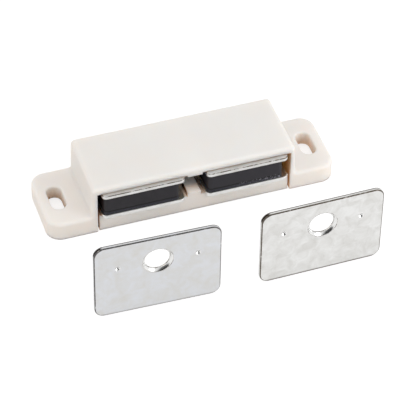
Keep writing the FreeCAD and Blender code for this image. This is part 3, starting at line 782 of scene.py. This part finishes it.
class CATCH_OT_set_stage(Operator):
    """Adds the floor, the surround, the two soft lamps and the camera"""

    bl_idname = "catch.set_stage"
    bl_label = "Set Stage"

    def execute(self, context):
        stage = context.scene.catch_stage
        self.lay_floor()
        self.hang_sky(context.scene, stage)
        self.hang_lamp("key_lamp", KEY_PLACE, stage.key_size, stage.key_power, WHITE)
        self.hang_lamp("fill_lamp", FILL_PLACE, stage.fill_size, stage.fill_power, FILL_TINT)
        self.aim_camera(context.scene, stage)
        context.scene.view_settings.view_transform = "Standard"
        return {"FINISHED"}

    @staticmethod
    def lay_floor():
        """A broad white floor that keeps a faint shadow."""
        clear_selection()
        bpy.ops.mesh.primitive_plane_add(size=FLOOR_SIZE, location=(0, 0, 0))
        floor = bpy.context.object
        floor.name = floor.data.name = "floor"
        material, tree = new_material("matt_white_floor")
        direct = seen_directly(tree, add_node(tree, "ShaderNodeLightPath"))
        paint = mix(tree, direct, FLOOR_COLOUR, FLOOR_SEEN_COLOUR)
        matt = add_node(tree, "ShaderNodeBsdfDiffuse", {"Color": paint}, give="BSDF")
        strength = combined(tree, "MULTIPLY", direct, FLOOR_GLOW)
        glow = add_node(tree, "ShaderNodeEmission", {"Color": WHITE, "Strength": strength}, give="Emission")
        both = add_node(tree, "ShaderNodeAddShader", {"Shader": matt, "Shader_001": glow}, give="Shader")
        add_node(tree, "ShaderNodeOutputMaterial", {"Surface": both})
        floor.data.materials.append(material)

    @staticmethod
    def hang_sky(scene, stage):
        """A white surround, full white where it is seen, with an unlit room that only mirrors show."""
        world = bpy.data.worlds.new("white_surround")
        world.use_nodes = True
        tree = world.node_tree
        tree.nodes.clear()
        rays = add_node(tree, "ShaderNodeLightPath")
        strength = span(tree, seen_directly(tree, rays), 0.0, 1.0, stage.sky, 1.0)
        heading = add_node(tree, "ShaderNodeTexCoord", give="Generated")
        nearness = add_node(
            tree, "ShaderNodeVectorMath", {"Vector": heading, "Vector_001": DARK_ROOM}, give="Value",
            operation="DOT_PRODUCT",
        )
        room = span(tree, nearness, ROOM_EDGE, ROOM_INSIDE)
        dark = combined(tree, "MULTIPLY", room, output(rays, "Is Glossy Ray"))
        shade = mix(tree, dark, WHITE, ROOM_COLOUR)
        links = {"Color": shade, "Strength": strength}
        shader = add_node(tree, "ShaderNodeBackground", links, give="Background")
        add_node(tree, "ShaderNodeOutputWorld", {"Surface": shader})
        scene.world = world

    @staticmethod
    def hang_lamp(name, place, size, power, tint):
        """One square soft lamp, turned to the catch."""
        clear_selection()
        aim = place.to_track_quat("Z", "Y").to_euler()
        bpy.ops.object.light_add(type="AREA", location=place, rotation=aim)
        lamp = bpy.context.object
        lamp.name = lamp.data.name = name
        lamp.data.shape = "SQUARE"
        lamp.data.size = size
        lamp.data.energy = power
        lamp.data.color = tint

    @staticmethod
    def aim_camera(scene, stage):
        """The photograph's own angle."""
        clear_selection()
        bpy.ops.object.camera_add()
        camera = bpy.context.object
        camera.name = camera.data.name = "photo_camera"
        back = Vector((
            math.sin(CAMERA_AZIMUTH) * math.cos(CAMERA_ELEVATION),
            -math.cos(CAMERA_AZIMUTH) * math.cos(CAMERA_ELEVATION),
            math.sin(CAMERA_ELEVATION),
        ))
        side = Vector((0, 0, 1)).cross(back).normalized()
        up = back.cross(side)
        right = side * math.cos(CAMERA_ROLL) + up * math.sin(CAMERA_ROLL)
        top = up * math.cos(CAMERA_ROLL) - side * math.sin(CAMERA_ROLL)
        turn = Matrix((right, top, back)).transposed().to_4x4()
        camera.matrix_world = Matrix.Translation(CAMERA_PLACE) @ turn
        camera.data.lens = stage.lens
        camera.data.sensor_width = SENSOR_WIDTH
        camera.data.clip_start = NEAREST_SEEN
        scene.camera = camera


class CATCH_PT_sidebar(Panel):
    """Lists the catch's steps in the sidebar."""

    bl_idname = "CATCH_PT_sidebar"
    bl_label = "Magnetic Catch"
    bl_space_type = "VIEW_3D"
    bl_region_type = "UI"
    bl_category = "Catch"

    def draw(self, context):
        layout = self.layout
        for step in STEPS:
            layout.operator(step.bl_idname)
        for group in (context.scene.catch_colours, context.scene.catch_sizes, context.scene.catch_stage):
            box = layout.box()
            for name in group.__annotations__:
                box.prop(group, name)


STEPS = (
    CATCH_OT_set_stage, CATCH_OT_dress_mouldings, CATCH_OT_dress_magnets, CATCH_OT_build_pole_plates,
    CATCH_OT_build_strikes,
)
GROUPS = {"catch_colours": CatchColours, "catch_sizes": CatchSizes, "catch_stage": CatchStage}


def register():
    for cls in (*GROUPS.values(), *STEPS, CATCH_PT_sidebar):
        bpy.utils.register_class(cls)
    for name, group in GROUPS.items():
        setattr(bpy.types.Scene, name, PointerProperty(type=group))


def unregister():
    for name in GROUPS:
        delattr(bpy.types.Scene, name)
    for cls in reversed((*GROUPS.values(), *STEPS, CATCH_PT_sidebar)):
        bpy.utils.unregister_class(cls)


def main():
    register()
    bpy.ops.catch.set_stage()
    bpy.ops.catch.dress_mouldings()
    bpy.ops.catch.dress_magnets()
    bpy.ops.catch.build_pole_plates()
    bpy.ops.catch.build_strikes()


if __name__ == "__main__":
    main()
